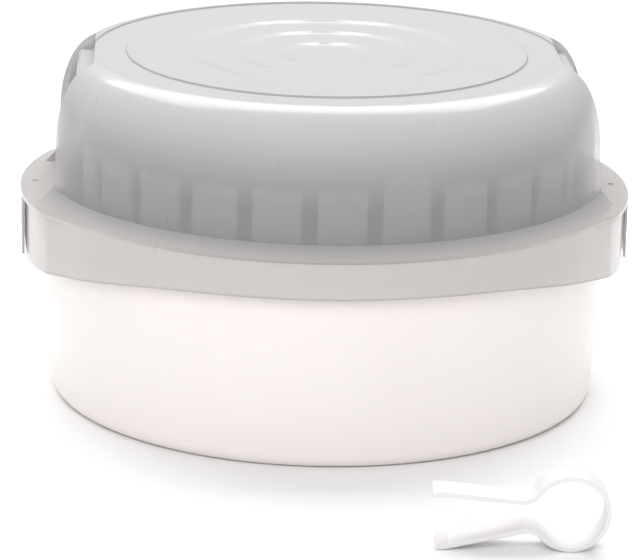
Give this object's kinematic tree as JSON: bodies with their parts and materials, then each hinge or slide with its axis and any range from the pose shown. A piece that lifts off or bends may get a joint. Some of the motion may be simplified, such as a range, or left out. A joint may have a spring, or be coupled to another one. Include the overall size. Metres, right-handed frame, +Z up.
{
  "type": "microwave sterilizer",
  "caption": "Round microwave steam sterilizer: a white bowl, a slatted basket and a bottle rack under a translucent grey domed lid with side grips, and teat tongs beside it.",
  "frame": {"origin": "middle of the bowl's underside, where it rests", "axes": "+Z up, -Y to the front, where the tongs lie; the lid's side grips are at +X and -X"},
  "size_m": [0.28, 0.361, 0.158],
  "materials": {
    "bowl_white": "warm white polypropylene, softly glossy",
    "lid_grey": "translucent cool grey polypropylene, glossy outside",
    "basket_white": "white polypropylene, fine matte",
    "tongs_white": "white polypropylene, satin"
  },
  "bodies": {
    "bowl": {"base_bowl": "bowl_white"},
    "basket": {"basket": "basket_white"},
    "rack": {"bottle_rack": "basket_white"},
    "lid": {"lid": "lid_grey"},
    "tongs": {"tongs_lower": "tongs_white"},
    "tongs_arm": {"tongs_upper": "tongs_white"}
  },
  "joints": [
    {"name": "basket_lift", "type": "slide", "parent": "bowl", "child": "basket", "axis": [0, 0, 1], "range_m": [0, 0.095]},
    {"name": "rack_lift", "type": "slide", "parent": "basket", "child": "rack", "axis": [0, 0, 1], "range_m": [0, 0.125]},
    {"name": "lid_lift", "type": "slide", "parent": "rack", "child": "lid", "axis": [0, 0, 1], "range_m": [0, 0.085]},
    {"name": "tongs_pick_up", "type": "slide", "parent": "bowl", "child": "tongs", "axis": [0, 0, 1], "range_m": [0, 0.06]},
    {"name": "tongs_squeeze", "type": "hinge", "parent": "tongs", "child": "tongs_arm", "pos_m": [0.10664, -0.2177, 0.01739], "axis": [-0.0523, -0.9986, 0], "range_deg": [0, 15], "stiffness_Nm_per_rad": 0.36}
  ]
}
